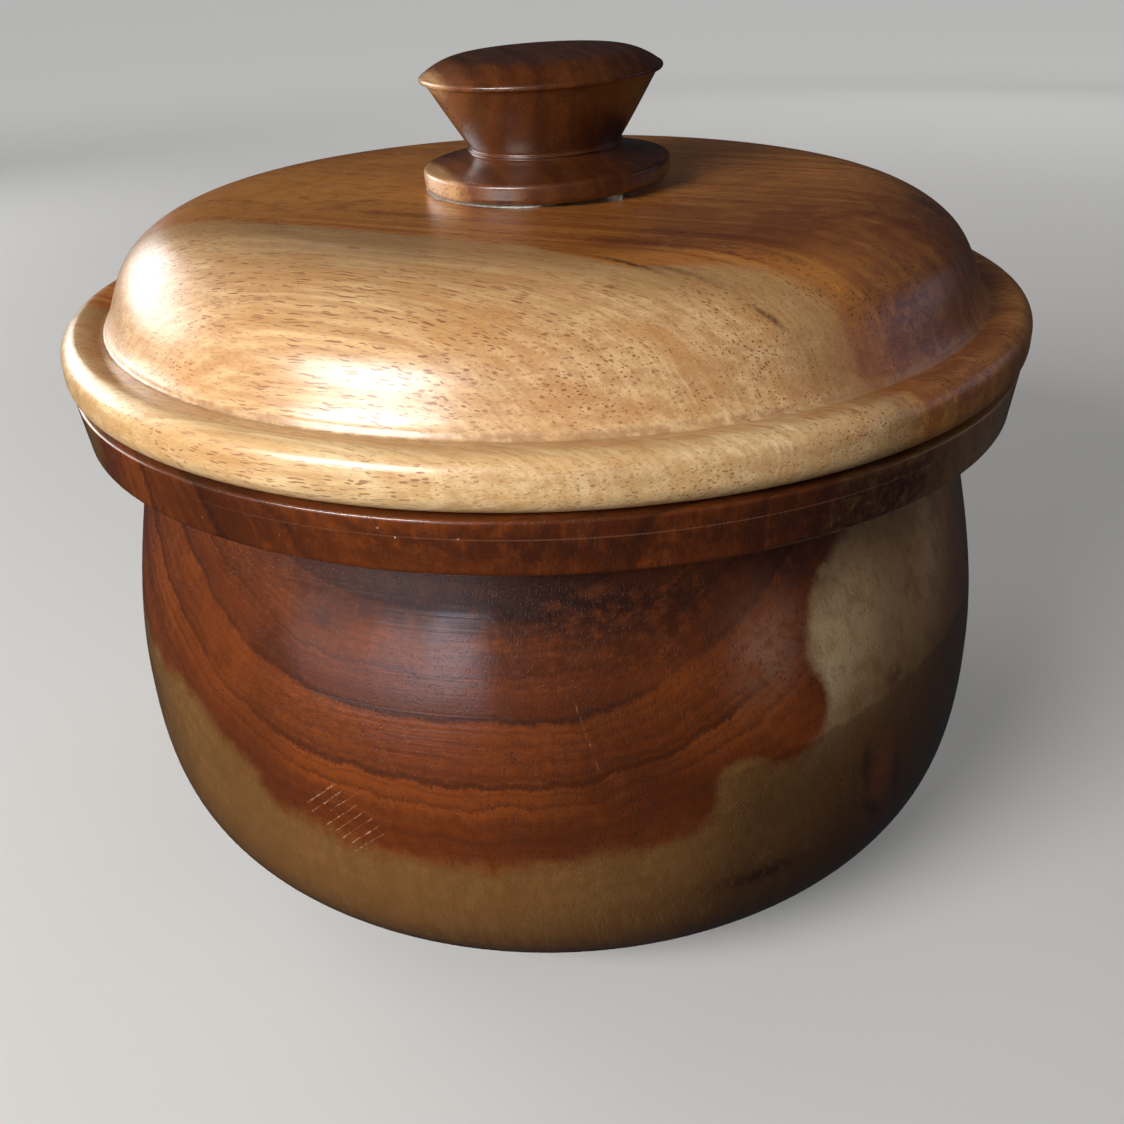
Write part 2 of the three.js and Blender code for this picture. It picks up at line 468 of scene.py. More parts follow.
def wood_relief(s, place, fibres, pore_all):
    """Normals of the wood and of the lacquer over it: pores, fibres, turning lines and waves."""
    x, y, z = s.split(place)
    rim_distance = s.math("SQRT", s.add(s.times(x, x), s.times(y, y)))
    across = s.add(z, s.times(rim_distance, 0.83))
    tool = s.line_noise(s.add(across, s.swing(s.noise(place, 0.05), 0.2)), 2.6, 2.0)
    waves = s.noise(place, 0.11, 2.0, 0.4)
    relief = s.bump(s.times(pore_all, -1.0), 0.07 * MM, 0.55)
    relief = s.bump(fibres, 0.03 * MM, 0.35, relief)
    relief = s.bump(tool, 0.05 * MM, 0.35, relief)
    gloss = s.bump(tool, 0.022 * MM, 0.5)
    gloss = s.bump(waves, 0.75 * MM, 0.22, gloss)
    gloss = s.bump(s.times(pore_all, -1.0), 0.012 * MM, 0.4, gloss)
    return relief, gloss


def wood(name, log, tones, lines, sap_edge, sap_blobs=(), heart_blobs=(), sap_stains_and_shade=(), stains_and_shade=(),
         streaks=(), pores=(0.45, 6.0), pore_strength=0.75, edge_soft=(0.0, 1.0, 1.0), extra=None,
         finish=LACQUER):
    """Lacquered wood cut from a log.

    log is (point on the pith, fibre direction, taper). The growth coordinate is the distance from
    the pith less the taper, in mm. lines are the dark growth lines on it, as (place, half width,
    strength), and sapwood starts at sap_edge. Blobs are (centre, radii, amount) in mm: sap_blobs
    move the edge, and heart_blobs darken or lighten the heartwood, some of them as painted light
    and shade. sap_stains_and_shade and stains_and_shade mix in a colour of their own, in the
    sapwood or over everything: real stains, and some painted shade and painted reflection. Streaks
    are stains with an axis. edge_soft widens the sapwood edge along X: (from x, to x, how many
    times wider). extra adds the wear, marks and painted light and shade of one piece, and finish
    holds the lacquer's settings.
    """
    s = Shader(name)
    where, place = s.coordinates()
    origin, fibre, taper = log
    grain = s.frame(where, origin, fibre)

    # growth coordinate, with slow drift and a fuzz that is drawn out along the fibre
    drift = s.swing(s.noise(s.stretch(grain, 1, 1, 0.45), 0.035, 2.0), 1.6)
    ripple = s.swing(s.noise(s.stretch(grain, 1, 1, 0.3), 0.22, 3.0, 0.6), 0.55)
    fuzz = s.swing(s.noise(s.stretch(grain, 1, 1, 0.16), 1.9, 3.0, 0.65), tones["fuzz"])
    u, v, t = s.split(grain)
    radius = s.math("SQRT", s.add(s.times(u, u), s.times(v, v)))
    smooth_growth = s.math("SUBTRACT", radius, s.times(t, taper))
    growth = s.add(smooth_growth, drift, ripple)
    fuzzy_growth = s.add(growth, fuzz)

    # heartwood: slow bands, named dark lines, faint unnamed ones, streaks along the fibre
    bands = s.line_noise(growth, 0.34, 2.0)
    fine_bands = s.line_noise(growth, 1.7, 1.0)
    streak = s.noise(s.stretch(grain, 1, 1, 0.045), 0.85, 4.0, 0.62)
    fibres = s.noise(s.stretch(grain, 1, 1, 0.03), 4.6, 2.0, 0.6)
    cloud = s.noise(place, 0.032, 3.0, 0.55)

    low, high = tones["contrast"]
    heart = s.mix(s.span(s.add(s.times(bands, 0.6), s.times(streak, 0.4)), low, high),
                  tones["heart"], tones["heart_light"])
    heart = s.mix(s.times(s.span(cloud, 0.46, 0.68), 0.55), heart, tones["heart_dark"])
    line_mask = s.peaks(fuzzy_growth, 50.0, 90.0, lines) if lines else 0.0
    from_middle = s.math("ABSOLUTE", s.add(fine_bands, -0.5))
    faint = s.times(s.math("SUBTRACT", 1.0, s.span(from_middle, 0.0, 0.035)), 0.28)
    breakup = s.span(streak, 0.3, 0.62, 0.68, 1.0)
    dark = s.times(s.math("MAXIMUM", line_mask, faint), breakup)
    heart = s.mix(dark, heart, tones["line"])
    core = s.times(s.span(fuzzy_growth, tones["core_edge"] + 0.6, tones["core_edge"] - 2.0), breakup, 0.92)
    heart = s.mix(core, heart, tones["core"])
    for centre, radii, amount in heart_blobs:
        tone = tones["heart_dark"] if amount > 0 else tones["heart_light"]
        ragged = s.span(s.noise(place, 0.3, 3.0), 0.3, 0.62, 0.35, 1.0)
        heart = s.mix(s.times(s.blob(place, centre, radii, abs(amount)), ragged), heart, tone)

    # sapwood: pale, in soft bands
    sap_tone = s.span(s.add(s.times(fine_bands, 0.3), s.times(streak, 0.7)), low + 0.05, high - 0.05)
    sap = s.mix(sap_tone, tones["sap"], tones["sap_light"])
    sap = s.mix(s.times(s.span(cloud, 0.5, 0.7), 0.5), sap, tones["sap_dark"])
    edge_place = fuzzy_growth
    for centre, radii, amount in sap_blobs:
        edge_place = s.add(edge_place, s.blob(place, centre, radii, amount))
    edge_cloud = s.swing(s.noise(place, 0.16, 4.0, 0.6), tones["edge_wander"])
    edge_place = s.add(edge_place, edge_cloud)
    # the edge softens along X, from a crisp line to a slow change
    side = s.split(place)[0]
    half_width = s.times(s.span(side, edge_soft[0], edge_soft[1], 1.0, edge_soft[2]), tones["edge_width"])
    past_edge = s.math("DIVIDE", s.add(edge_place, -sap_edge), half_width)
    sap_mask = s.span(past_edge, -1.0, 1.0)
    figure = s.span(s.noise(s.stretch(grain, 1, 1, 0.22), 0.20, 3.0, 0.6), 0.42, 0.66)
    sap = s.mix(s.times(figure, tones["figure_strength"]), sap, tones["figure"])
    for centre, radii, amount, mark_tone in sap_stains_and_shade:
        ragged = s.span(s.noise(s.stretch(grain, 1, 1, 0.3), 0.4, 4.0, 0.62), 0.32, 0.6, 0.45, 1.0)
        sap = s.mix(s.times(s.blob(place, centre, radii, amount), ragged), sap, mark_tone)
    transition = s.times(s.span(edge_place, sap_edge + 8.5, sap_edge + 4.5), tones["transition_strength"])
    sap = s.mix(transition, sap, tones["transition"])
    near_edge = s.span(edge_place, sap_edge - 4.5, sap_edge, 0.0, tones["edge_glow"])
    heart = s.mix(near_edge, heart, tones["edge"])
    colour = s.mix(sap_mask, heart, sap)

    for centre, radii, amount, mark_tone in stains_and_shade:
        ragged = s.span(s.noise(place, 0.55, 4.0, 0.65), 0.3, 0.6, 0.3, 1.0)
        colour = s.mix(s.times(s.blob(place, centre, radii, amount), ragged), colour, mark_tone)

    for centre, axis, radii, amount, mark_tone in streaks:
        ragged = s.span(s.noise(place, 1.1, 3.0, 0.65), 0.3, 0.55, 0.25, 1.0)
        colour = s.mix(s.times(s.streak_blob(where, centre, axis, radii, amount), ragged), colour, mark_tone)

    # fibre-scale contrast over everything
    colour = s.mix(s.span(fibres, 0.38, 0.7, 0.0, 0.32), colour, tones["fibre_dark"], "MULTIPLY")

    # pores, darkest where dust fills them
    pore_all = pore_field(s, grain, pores)
    pore_tone = s.mix(sap_mask, tones["pore"], tones["pore_sap"])
    shown = s.span(sap_mask, 0.0, 1.0, pore_strength, tones["sap_pores"])
    colour = s.mix(s.times(pore_all, shown), colour, pore_tone)

    relief, gloss = wood_relief(s, place, fibres, pore_all)
    scuffs = s.span(s.noise(s.stretch(place, 1.3, 1.3, 0.5), 0.5, 5.0, 0.7), 0.5, 0.72)
    roughness = s.add(0.36, s.times(scuffs, 0.16), s.times(pore_all, 0.22), s.swing(streak, 0.08))
    if extra:
        colour, roughness, gloss = extra(s, place, colour, roughness, gloss)
    return s.surface(colour, roughness, relief, gloss, **finish)


# A row of parallel scratches low on the front of the bowl. The first number runs across them and
# the second along them, both measured in the plane of X and Z.
SCRATCH_ACROSS = (-52.2, -41.9)
SCRATCH_PITCH = 1.26
SCRATCH_ALONG = 4.9
SCRATCH_REACH = 3.5
SCRATCH_TONE = (0.52, 0.30, 0.17)
# painted shade darkens the sapwood below a step a little under this height
STEP_Z = 46.0
# a line scribed round the collar, this far below the rim
SCRIBED_DROP = 2.5
SCRIBED_TONE = (0.28, 0.12, 0.07)


def bowl_wear_and_shade(s, place, colour, roughness, gloss):
    """Scratches, painted shade below a step and towards the foot, and the collar's scribed line and dust.
    """
    x, y, z = s.split(place)
    wander = s.swing(s.noise(place, 0.16, 2.0), 0.35)
    across = s.add(s.times(s.math("SUBTRACT", x, z), 0.7071), wander)
    along = s.times(s.add(x, z), 0.7071)
    number = s.times(s.add(across, -SCRATCH_ACROSS[0]), 1 / SCRATCH_PITCH)
    near_line = s.math("ABSOLUTE", s.add(s.math("FRACT", number), -0.5))
    chance = s.line_noise(s.math("FLOOR", number), 7.3, 0.0)
    thin = s.span(s.noise(place, 1.3, 2.0), 0.35, 0.65, 0.0, 0.08)
    stripe = s.span(s.math("SUBTRACT", near_line, thin), 0.05, -0.05)
    centred = s.math("ABSOLUTE", s.add(along, -SCRATCH_ALONG, s.swing(chance, 2.4)))
    inside = s.times(s.span(across, SCRATCH_ACROSS[0] - 0.1, SCRATCH_ACROSS[0] + 0.1),
                     s.span(across, SCRATCH_ACROSS[1] + 0.1, SCRATCH_ACROSS[1] - 0.1),
                     s.span(centred, SCRATCH_REACH + 0.4, SCRATCH_REACH - 0.5))
    patchy = s.span(s.noise(place, 0.8, 2.0), 0.34, 0.66, 0.10, 0.62)
    mask = s.times(stripe, inside, patchy, s.span(y, -50.0, -55.0))
    colour = s.mix(mask, colour, SCRATCH_TONE)

    slant = s.math("ABSOLUTE", s.add(x, s.times(z, 0.31), -19.4, s.swing(s.noise(place, 0.5), 0.5)))
    faint = s.times(s.span(slant, 0.16, 0.05), s.span(z, 47.0, 48.0), s.span(z, 58.0, 56.5),
                    s.span(s.noise(place, 1.4, 2.0), 0.42, 0.62), s.span(y, -50.0, -55.0), 0.20)
    colour = s.mix(faint, colour, SCRATCH_TONE)

    # painted shade on the sapwood below the step
    step_height = s.add(z, s.times(x, -0.10), s.swing(s.noise(place, 0.22, 3.0), 1.4))
    step_shade = s.times(s.span(step_height, STEP_Z - 3.7, STEP_Z - 4.7), s.span(x, 13.0, 27.0),
                    s.span(y, -20.0, -36.0))
    colour = s.mix(s.times(step_shade, 0.75), colour, (0.56, 0.52, 0.50), "MULTIPLY")

    # painted shade, darker towards the foot
    foot_shade = s.span(s.add(z, s.times(x, -0.16)), 29.0, 5.0, 0.0, 0.95)
    colour = s.mix(foot_shade, colour, (0.43, 0.39, 0.35), "MULTIPLY")

    # a fine scribed line round the collar, and a little white dust on it
    from_line = s.math("ABSOLUTE", s.add(z, SCRIBED_DROP - RIM_Z))
    scribed = s.times(s.span(from_line, 0.14, 0.04), s.span(x, -70.0, 10.0), 0.35)
    colour = s.mix(scribed, colour, SCRIBED_TONE)
    near, chance = s.cells(place, 0.55)
    speck_zone = s.times(s.span(z, RIM_Z - 8.5, RIM_Z - 7.0), s.span(x, 12.0, -25.0))
    speck = s.times(s.span(near, 0.11, 0.05), s.span(chance, 0.82, 0.86), speck_zone, 0.5)
    colour = s.mix(speck, colour, (0.72, 0.66, 0.6))
    return colour, s.add(roughness, s.times(mask, 0.25)), gloss


LEDGE_Z = LID_Z + 11.3
# painted shade for the ledge round the dome
LEDGE_SHADE = (0.80, 0.58, 0.40)
# painted light that pales the flange
FLANGE_PAINTED_LIGHT = (1.22, 1.42, 1.60)
CREASE_TONE = (0.42, 0.22, 0.10)


def lid_shading_and_crease(s, place, colour, roughness, gloss):
    """Painted shade on the ledge round the dome, painted light on the flange, a brown line in the crease.
    """
    x, y, z = s.split(place)
    out = s.math("SQRT", s.add(s.times(x, x), s.times(y, y)))
    low = s.span(z, LEDGE_Z + 1.4, LEDGE_Z + 0.4)
    # painted shade on the ledge round the dome
    ledge_shade = s.times(s.span(out, 68.9, 69.6), s.span(out, 73.4, 71.9), low,
                    s.span(z, LEDGE_Z - 3, LEDGE_Z - 2))
    uneven = s.span(s.noise(place, 0.14, 3.0), 0.3, 0.65, 0.25, 0.75)
    colour = s.mix(s.times(ledge_shade, uneven), colour, LEDGE_SHADE, "MULTIPLY")
    # painted light on the flange
    flange_light = s.span(z, LEDGE_Z + 1.6, LEDGE_Z + 0.6)
    colour = s.mix(s.times(flange_light, 0.75), colour, FLANGE_PAINTED_LIGHT, "MULTIPLY")
    # a mottled brown line in the crease at the dome's foot
    crease = s.times(s.span(out, 68.2, 68.6), s.span(out, 69.3, 68.9), low)
    crease_mottle = s.span(s.noise(place, 0.5, 3.0), 0.38, 0.6, 0.2, 0.8)
    colour = s.mix(s.times(crease, crease_mottle), colour, CREASE_TONE)
    return colour, roughness, gloss


# ---------------------------------------------------------------- the three woods
BOWL_TONES = {
    "sap_pores": 0.25,
    "fuzz": 0.30,
    "contrast": (0.36, 0.64),
    "core": (0.038, 0.0095, 0.0045),
    "core_edge": 61.4,
    "heart": (0.128, 0.026, 0.0035),
    "heart_light": (0.235, 0.053, 0.007),
    "heart_dark": (0.056, 0.012, 0.0028),
    "line": (0.018, 0.0045, 0.002),
    "edge": (0.110, 0.024, 0.005),
    "edge_glow": 0.45,
    "edge_width": 0.6,
    "edge_wander": 0.8,
    "transition": (0.150, 0.070, 0.018),
    "transition_strength": 0.6,
    "figure": (0.130, 0.055, 0.015),
    "figure_strength": 0.5,
    "sap": (0.210, 0.100, 0.032),
    "sap_light": (0.310, 0.155, 0.055),
    "sap_dark": (0.140, 0.064, 0.020),
    "fibre_dark": (0.60, 0.52, 0.46),
    "pore": (0.032, 0.009, 0.005),
    "pore_sap": (0.200, 0.095, 0.040),
}
BOWL_EDGE = 75.3
BOWL_LOG = ((2.5, 11.0, 5.8), (0.104, 0.445, -0.889), 0.208)
BOWL_LINES = (
    (60.3, 0.30, 0.75), (62.4, 0.30, 0.40), (64.9, 0.36, 0.75), (65.5, 0.16, 0.40), (67.45, 0.55, 0.95),
    (68.9, 0.25, 0.35), (69.9, 0.30, 0.40), (70.75, 0.26, 0.65), (71.35, 0.42, 0.92), (72.5, 0.28, 0.60),
    (73.4, 0.22, 0.40), (74.1, 0.40, 0.50),
)
LID_TONES = {
    "sap_pores": 0.78,
    "fuzz": 0.75,
    "contrast": (0.28, 0.74),
    "core": (0.2, 0.05, 0.01),
    "core_edge": 0.0,
    "heart": (0.430, 0.132, 0.022),
    "heart_light": (0.720, 0.300, 0.058),
    "heart_dark": (0.200, 0.048, 0.009),
    "line": (0.085, 0.021, 0.006),
    "edge": (0.360, 0.125, 0.035),
    "edge_glow": 0.2,
    "edge_width": 0.5,
    "edge_wander": 0.8,
    "transition": (0.420, 0.230, 0.080),
    "transition_strength": 0.6,
    "figure": (0.560, 0.270, 0.090),
    "figure_strength": 0.55,
    "sap": (0.560, 0.310, 0.130),
    "sap_light": (0.800, 0.530, 0.265),
    "sap_dark": (0.520, 0.270, 0.105),
    "fibre_dark": (0.72, 0.58, 0.46),
    "pore": (0.070, 0.020, 0.007),
    "pore_sap": (0.230, 0.070, 0.022),
}
# the lid's pith lies far behind it, so the sapwood edge is almost a plane
LID_NORMAL = Vector((-0.441, -0.898, 0.0))
LID_PITH_AWAY = 110.0
LID_EDGE = 38.0
LID_LOG = (tuple(LID_NORMAL * (LID_EDGE - LID_PITH_AWAY) + Vector((0, 0, 96.0))), (0.898, -0.441, 0.0), 0.0)
KNOB_TONES = {
    "sap_pores": 0.6,
    "fuzz": 0.6,
    "contrast": (0.36, 0.64),
    "core": (0.05, 0.012, 0.004),
    "core_edge": 0.0,
    "heart": (0.064, 0.0150, 0.0030),
    "heart_light": (0.130, 0.036, 0.0060),
    "heart_dark": (0.030, 0.0070, 0.0025),
    "line": (0.025, 0.007, 0.003),
    "edge": (0.340, 0.120, 0.045),
    "edge_glow": 0.4,
    "edge_width": 1.0,
    "edge_wander": 1.0,
    "transition": (0.400, 0.190, 0.070),
    "transition_strength": 0.4,
    "figure": (0.400, 0.190, 0.070),
    "figure_strength": 0.4,
    "sap": (0.520, 0.290, 0.130),
    "sap_light": (0.640, 0.400, 0.200),
    "sap_dark": (0.400, 0.200, 0.080),
    "fibre_dark": (0.65, 0.55, 0.48),
    "pore": (0.050, 0.016, 0.008),
    "pore_sap": (0.220, 0.090, 0.035),
}
KNOB_LOG = ((58.0, 20.0, 122.0), (0.28, -0.93, 0.22), 0.0)
KNOB_EDGE = 78.0
# painted shade on the knob's right side
KNOB_SHADE_BLOBS = (
    ((17.0, -8.0, 117.0), (11.0, 14.0, 14.0), 0.95),
)

# the sapwood edge runs further in high on the right, with a lobe of heartwood and a notch below
BOWL_SAP_BLOBS = (
    ((35.5, -58.0, 65.0), (8.0, 14.0, 12.0), 4.9),
    ((56.0, -46.0, 72.0), (18.0, 20.0, 16.0), 6.0),
    ((22.0, -68.5, 45.0), (4.5, 8.0, 4.0), 1.2),
    ((14.5, -71.0, 38.0), (7.0, 8.0, 4.0), -1.0),
    ((-52.0, -49.0, 46.0), (10.0, 12.0, 8.0), 1.2),
    ((-64.0, -28.0, 60.0), (14.0, 18.0, 14.0), -3.5),
    ((25.5, -68.0, 39.5), (6.0, 8.0, 5.0), 1.9),
    ((31.5, -63.5, 50.0), (4.0, 7.0, 4.5), -2.2),
)
BOWL_HEART_BLOBS = (
    ((-30.0, -61.0, 65.5), (5.0, 8.0, 2.2), 0.75),
    ((-45.0, -50.0, 55.0), (9.0, 12.0, 9.0), -0.5),
    ((33.0, -63.0, 46.5), (5.0, 6.0, 5.0), -0.85),
    ((5.0, -72.0, 37.0), (16.0, 8.0, 4.0), 0.6),
    ((14.0, -68.0, 61.0), (6.0, 6.0, 3.5), -0.8),
    ((8.0, -71.0, 45.0), (16.0, 8.0, 3.5), 0.45),
    ((14.0, -71.0, 43.0), (10.0, 8.0, 5.0), 0.7),
)
COLLAR_BROWN = (0.040, 0.010, 0.004)
BOWL_SAP_STAINS_AND_SHADE = (
    ((40.0, -57.0, 60.0), (8.0, 11.0, 13.0), 1.0, (0.92, 0.66, 0.39)),
    ((36.0, -60.5, 57.0), (4.0, 8.0, 10.0), 1.0, (0.95, 0.76, 0.49)),
    ((52.0, -46.0, 58.0), (10.0, 12.0, 12.0), 0.9, (0.80, 0.53, 0.31)),
    # painted shade in the sapwood below the step
    ((44.0, -57.0, 30.0), (13.0, 12.0, 12.0), 0.8, (0.085, 0.034, 0.013)),
    ((62.0, -36.0, 50.0), (7.0, 12.0, 16.0), 0.6, (0.30, 0.13, 0.065)),
    ((58.0, -38.0, 26.0), (12.0, 14.0, 14.0), 0.8, (0.075, 0.036, 0.015)),
    ((-30.0, -62.0, 24.0), (40.0, 20.0, 9.0), 0.55, (0.230, 0.088, 0.026)),
    # painted shade in the sapwood below the step
    ((27.0, -67.0, 36.5), (9.0, 10.0, 7.0), 0.65, (0.120, 0.064, 0.030)),
)
BOWL_STAINS_AND_SHADE = (
    ((4.0, -74.0, 81.5), (52.0, 45.0, 4.2), 0.85, COLLAR_BROWN),
    # darker heartwood and painted shade under the collar
    ((7.0, -67.5, 66.5), (25.0, 12.0, 7.0), 0.88, (0.048, 0.0115, 0.004)),
    ((22.0, -68.0, 26.0), (22.0, 12.0, 9.0), 0.55, (0.100, 0.044, 0.016)),
    ((43.0, -59.5, 81.0), (9.0, 12.0, 6.5), 1.0, COLLAR_BROWN),
    ((62.0, -40.0, 80.0), (10.0, 14.0, 7.0), 0.8, (0.50, 0.31, 0.17)),
    ((35.0, -64.5, 80.0), (12.0, 12.0, 6.0), 1.0, COLLAR_BROWN),
    # darker heartwood and painted shade under the collar
    ((-4.0, -66.0, 69.5), (34.0, 30.0, 3.6), 0.95, (0.016, 0.0045, 0.0025)),
    ((46.5, -56.0, 33.0), (3.0, 5.0, 6.5), 0.95, (0.29, 0.080, 0.030)),
    ((47.4, -53.6, 48.4), (1.3, 2.2, 1.6), 0.95, (0.050, 0.016, 0.008)),
    ((27.0, -63.8, 60.5), (5.0, 6.0, 7.0), 0.80, (0.28, 0.130, 0.082)),
    ((31.5, -59.5, 70.5), (6.0, 6.0, 3.2), 0.9, (0.045, 0.012, 0.008)),
)
# dark rays and swirls: (centre, axis, (sideways, up, along), amount, colour)
BOWL_STREAKS = (
    ((-38.0, -58.0, 60.0), (0.75, -0.35, -0.55), (1.6, 3.0, 7.0), 0.6, (0.045, 0.010, 0.004)),
    ((-6.0, -68.5, 62.5), (1.0, 0.0, -0.05), (3.0, 1.2, 12.0), 0.5, (0.050, 0.012, 0.004)),
    ((14.0, -67.0, 62.0), (0.95, 0.2, 0.25), (3.0, 1.4, 9.0), 0.55, (0.060, 0.014, 0.004)),
    ((27.5, -66.5, 24.6), (0.93, 0.35, 0.03), (1.5, 1.5, 7.0), 1.0, (0.050, 0.014, 0.007)),
    ((43.4, -58.0, 36.0), (0.10, 0.10, -1.0), (1.1, 1.1, 4.5), 0.9, (0.060, 0.020, 0.010)),
    ((45.5, -56.4, 27.0), (0.55, 0.45, -0.70), (1.1, 1.1, 4.0), 0.9, (0.055, 0.018, 0.010)),
    ((49.5, -53.0, 31.0), (0.05, 0.15, -1.0), (1.0, 1.0, 5.0), 0.7, (0.060, 0.022, 0.012)),
)
LID_SAP_BLOBS = (
    ((9.0, -46.0, 107.0), (9.0, 14.0, 10.0), -5.0),
    ((31.0, -54.0, 102.0), (12.0, 11.0, 8.0), 5.0),
    ((36.0, -60.0, 91.0), (10.0, 16.0, 4.0), 5.0),
)
LID_HEART_BLOBS = (
    ((20.0, -40.0, 107.0), (16.0, 5.0, 5.0), 0.85),
    ((52.0, -27.0, 105.0), (14.0, 14.0, 8.0), 0.90),
    ((34.0, -30.0, 107.8), (18.0, 13.0, 6.0), 0.70),
    ((33.0, -50.0, 104.5), (5.0, 5.0, 4.0), -0.7),
    # painted light: these two lighten the lid's top at the back and on the left
    ((8.0, 36.0, 108.0), (34.0, 18.0, 8.0), -0.6),
    ((-36.0, 0.0, 108.0), (26.0, 24.0, 8.0), -0.95),
    ((-6.0, -24.0, 108.0), (14.0, 7.0, 5.0), 0.5),
)
DARK_GRAIN = (0.045, 0.013, 0.006)
LID_STREAKS = (
    ((9.6, -50.2, 107.4), (0.81, -0.58, 0.0), (0.45, 2.0, 5.5), 0.95, DARK_GRAIN),
    ((16.0, -52.5, 106.6), (0.90, -0.42, -0.1), (0.7, 1.5, 6.0), 0.5, DARK_GRAIN),
    ((26.0, -57.7, 102.3), (0.82, -0.25, -0.52), (0.40, 0.45, 2.4), 1.0, DARK_GRAIN),
    ((22.0, -39.0, 107.8), (0.90, -0.44, 0.0), (1.3, 3.0, 12.0), 0.55, (0.110, 0.028, 0.008)),
    ((13.0, -42.0, 107.8), (0.90, -0.44, 0.0), (0.9, 3.0, 9.0), 0.55, (0.110, 0.028, 0.008)),
    ((28.0, -46.0, 106.8), (0.88, -0.46, -0.1), (0.9, 2.0, 8.0), 0.5, (0.110, 0.028, 0.008)),
    ((-12.0, -24.0, 107.8), (0.90, -0.44, 0.0), (1.0, 3.0, 13.0), 0.4, (0.120, 0.030, 0.008)),
)
LID_STAINS_AND_SHADE = (
    # darker wood and painted shade on the lid's right
    ((60.0, -20.0, 100.0), (11.0, 22.0, 10.0), 0.8, (0.120, 0.034, 0.018)),
    ((56.9, -13.2, 105.6), (3.0, 3.6, 2.0), 0.80, (0.045, 0.014, 0.008)),
    # darker wood under a painted cool reflection and painted shade on the dome's right
    ((47.0, -47.0, 98.5), (12.0, 11.0, 10.0), 0.90, (0.150, 0.060, 0.046)),
    # painted shade on the ledge at the right, over darker wood
    ((48.0, -54.0, 91.5), (13.0, 13.0, 4.0), 0.85, (0.210, 0.062, 0.022)),
)
bowl_wood = wood("bowl_wood", BOWL_LOG, BOWL_TONES, BOWL_LINES, BOWL_EDGE, BOWL_SAP_BLOBS, BOWL_HEART_BLOBS,
                 BOWL_SAP_STAINS_AND_SHADE, BOWL_STAINS_AND_SHADE, BOWL_STREAKS, pore_strength=0.45, extra=bowl_wear_and_shade)
lid_wood = wood("lid_wood", LID_LOG, LID_TONES, (), LID_PITH_AWAY, LID_SAP_BLOBS, LID_HEART_BLOBS,
                (), LID_STAINS_AND_SHADE, LID_STREAKS, edge_soft=(12.0, 32.0, 7.0),
                pores=(0.33, 4.2), extra=lid_shading_and_crease, finish={**LACQUER, "Coat_Roughness": 0.25})
knob_wood = wood("knob_wood", KNOB_LOG, KNOB_TONES, (), KNOB_EDGE, (), KNOB_SHADE_BLOBS, pores=(0.38, 4.5),
                 finish={**LACQUER, "Coat_Weight": 0.8, "Coat_Roughness": 0.2})


def dowel_wood():
    s = Shader("dowel_wood")
    place = s.coordinates()[1]
    streak = s.noise(s.stretch(place, 1, 1, 0.06), 1.6, 4.0, 0.6)
    rings = s.line_noise(s.split(place)[0], 1.1, 2.0)
    colour = s.mix(s.span(streak, 0.35, 0.65), (0.60, 0.42, 0.24), (0.74, 0.57, 0.36))
    colour = s.mix(s.times(s.span(rings, 0.5, 0.65), 0.4), colour, (0.48, 0.31, 0.16))
    relief = s.bump(streak, 0.05 * MM, 0.6)
    return s.surface(colour, s.span(streak, 0.3, 0.7, 0.55, 0.75), relief, Specular_IOR_Level=0.3)


def dried_glue():
    s = Shader("dried_glue")
    place = s.coordinates()[1]
    mottle = s.noise(place, 1.1, 4.0, 0.6)
    dust = s.noise(place, 3.4, 3.0, 0.7)
    colour = s.mix(s.span(mottle, 0.35, 0.65), (0.34, 0.31, 0.26), (0.66, 0.64, 0.58))
    colour = s.mix(s.times(s.span(dust, 0.55, 0.7), 0.6), colour, (0.16, 0.10, 0.06))
    relief = s.bump(s.add(mottle, s.times(dust, 0.4)), 0.15 * MM, 0.7)
    return s.surface(colour, s.span(mottle, 0.3, 0.7, 0.35, 0.6), relief, Specular_IOR_Level=0.4)


# ---------------------------------------------------------------- pieces
def finish_piece(piece, material, body, node):
    piece.data.materials.append(material)
    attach(piece, body)
    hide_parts(node)


bowl = turn("turned_bowl", bowl_outline(), ROUND_STEPS)
finish_piece(bowl, bowl_wood, "bowl", "bowl")

lid = turn("turned_lid", lid_outline(), ROUND_STEPS)
finish_piece(lid, lid_wood, "lid", "lid")

knob = turn("turned_knob", knob_outline(), KNOB_STEPS, KNOB_PLACE)
finish_piece(knob, knob_wood, "lid", "knob")

glue = glue_bead("squeezed_glue")
finish_piece(glue, dried_glue(), "lid", "glue_line")

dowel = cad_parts["knob_dowel"]
dowel_material = dowel_wood()
if not dowel.material_slots:
    dowel.data.materials.append(dowel_material)
for material_slot in dowel.material_slots:
    material_slot.material = dowel_material


# ---------------------------------------------------------------- floor, light, camera
def floor_plane():
    s = Shader("pale_floor")
    where = s.node("ShaderNodeTexCoord").outputs["Object"]
    soft = s.noise(where, 1.7, 3.0)
    colour = s.mix(s.span(soft, 0.3, 0.7), (0.60, 0.60, 0.59), (0.64, 0.64, 0.63))
    # a faint glow keeps the far floor pale, where the lights don't reach
    glow = s.span(s.vector("LENGTH", where), 0.2, 1.3, 0.16, 0.75)
    material = s.surface(colour, 0.75, None, Specular_IOR_Level=0.2,
                         Emission_Color=(0.60, 0.60, 0.59), Emission_Strength=glow)
    # flat under the bowl, then curving up far behind it on every side
    outline = Outline(0, 0).line(2500, 0, 5).quad((5000, 0), (5000, 2500), 16).line(5000, 6000, 4)
    floor = turn("studio_floor", outline, 96)
    floor.data.materials.append(material)
    # the floor takes the shadow but doesn't colour the wood from below
    floor.visible_glossy = False
    floor.visible_diffuse = False
    floor.visible_shadow = False


